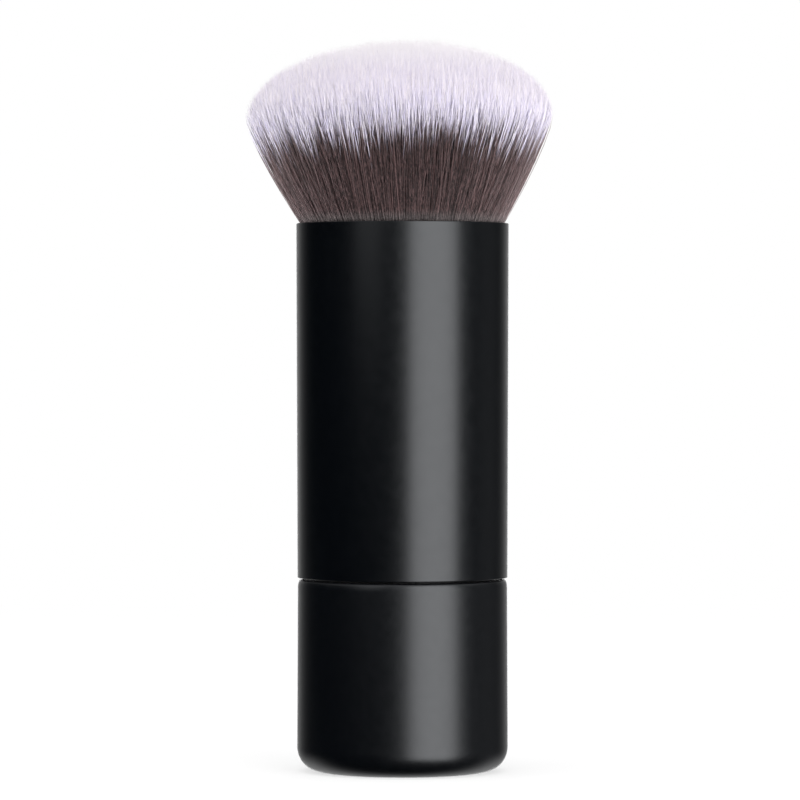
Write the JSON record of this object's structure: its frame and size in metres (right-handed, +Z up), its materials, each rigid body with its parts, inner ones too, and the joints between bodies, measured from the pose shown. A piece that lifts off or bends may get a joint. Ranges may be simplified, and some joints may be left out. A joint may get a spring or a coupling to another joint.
{
  "type": "foundation brush",
  "caption": "Domed two-tone makeup brush with a dense flared tuft in a tapered tube handle that pulls out of a rounded push-fit base cap.",
  "frame": {"origin": "centre of the base cap's flat underside", "axes": "+Z up along the brush, from the base cap to the tuft"},
  "size_m": [0.043, 0.043, 0.1033],
  "materials": {
    "soft_touch_black": "satin, soft to the touch",
    "plated_steel": "zinc plated",
    "liner_grey": "moulded",
    "satin_black": "satin black over aluminium",
    "core_black": "moulded",
    "grip_rubber": "matt",
    "cup_aluminium": "drawn",
    "amber_resin": "cast",
    "binding_thread": "wound thread",
    "bristle_fibre": "synthetic fibre, brown-mauve below and white at the tips"
  },
  "bodies": {
    "base_cap": {"base_cap_shell": "soft_touch_black", "base_cap_liner": "liner_grey", "base_weight": "plated_steel"},
    "handle": {"handle_sleeve": "satin_black", "handle_core": "core_black", "grip_ring": "grip_rubber", "tuft_cup": "cup_aluminium", "root_resin_plug": "amber_resin", "root_binding": "binding_thread", "bristle_tuft": "bristle_fibre"}
  },
  "joints": [
    {"name": "handle_pull", "type": "slide", "parent": "base_cap", "child": "handle", "axis": [0, 0, 1], "range_m": [0, 0.018]}
  ]
}
